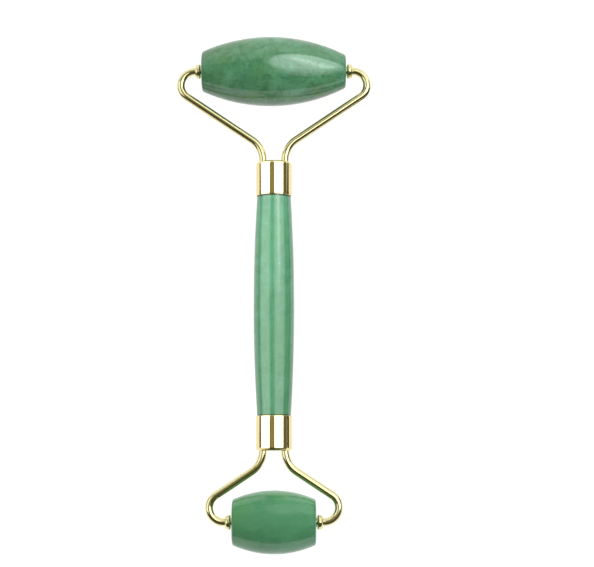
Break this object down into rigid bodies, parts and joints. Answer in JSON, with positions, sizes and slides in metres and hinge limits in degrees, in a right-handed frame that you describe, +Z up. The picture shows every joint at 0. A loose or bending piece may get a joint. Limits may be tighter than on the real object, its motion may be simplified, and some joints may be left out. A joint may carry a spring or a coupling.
{
  "type": "jade face roller",
  "caption": "Face massage roller: a barrel-shaped jade handle with a gold wire yoke at each end, each carrying a free-turning crowned jade barrel, one large and one small.",
  "frame": {"origin": "on the table that the tool lies on, under the middle of its bounding box; the table touches the large barrel", "axes": "+Y along the handle towards the large barrel, X along both barrels' axles, +Z up from the table"},
  "size_m": [0.0548, 0.1452, 0.0196],
  "materials": {
    "jade": "polished translucent green stone with cloudy mottling",
    "gold_plate": "mirror-polished pale gold plating",
    "bush_brass": "turned brass, slightly darker than the plating",
    "solder": "dull tin-silver solder",
    "adhesive": "cured clear epoxy"
  },
  "bodies": {
    "handle_frame": {"handle": "jade", "large_ferrule": "gold_plate", "large_solder_pad": "solder", "large_glue_bed": "adhesive", "large_left_arm": "gold_plate", "large_left_collar": "gold_plate", "large_right_arm": "gold_plate", "large_right_collar": "gold_plate", "small_ferrule": "gold_plate", "small_solder_pad": "solder", "small_glue_bed": "adhesive", "small_left_arm": "gold_plate", "small_left_collar": "gold_plate", "small_right_arm": "gold_plate", "small_right_collar": "gold_plate"},
    "large_roller": {"large_stone": "jade", "large_left_bush": "bush_brass", "large_right_bush": "bush_brass"},
    "small_roller": {"small_stone": "jade", "small_left_bush": "bush_brass", "small_right_bush": "bush_brass"}
  },
  "joints": [
    {"name": "large_roller_spin", "type": "hinge", "parent": "handle_frame", "child": "large_roller", "pos_m": [0, 0.0628, 0.0098], "axis": [1, 0, 0], "continuous": true},
    {"name": "small_roller_spin", "type": "hinge", "parent": "handle_frame", "child": "small_roller", "pos_m": [0, -0.06385, 0.0098], "axis": [1, 0, 0], "continuous": true}
  ]
}
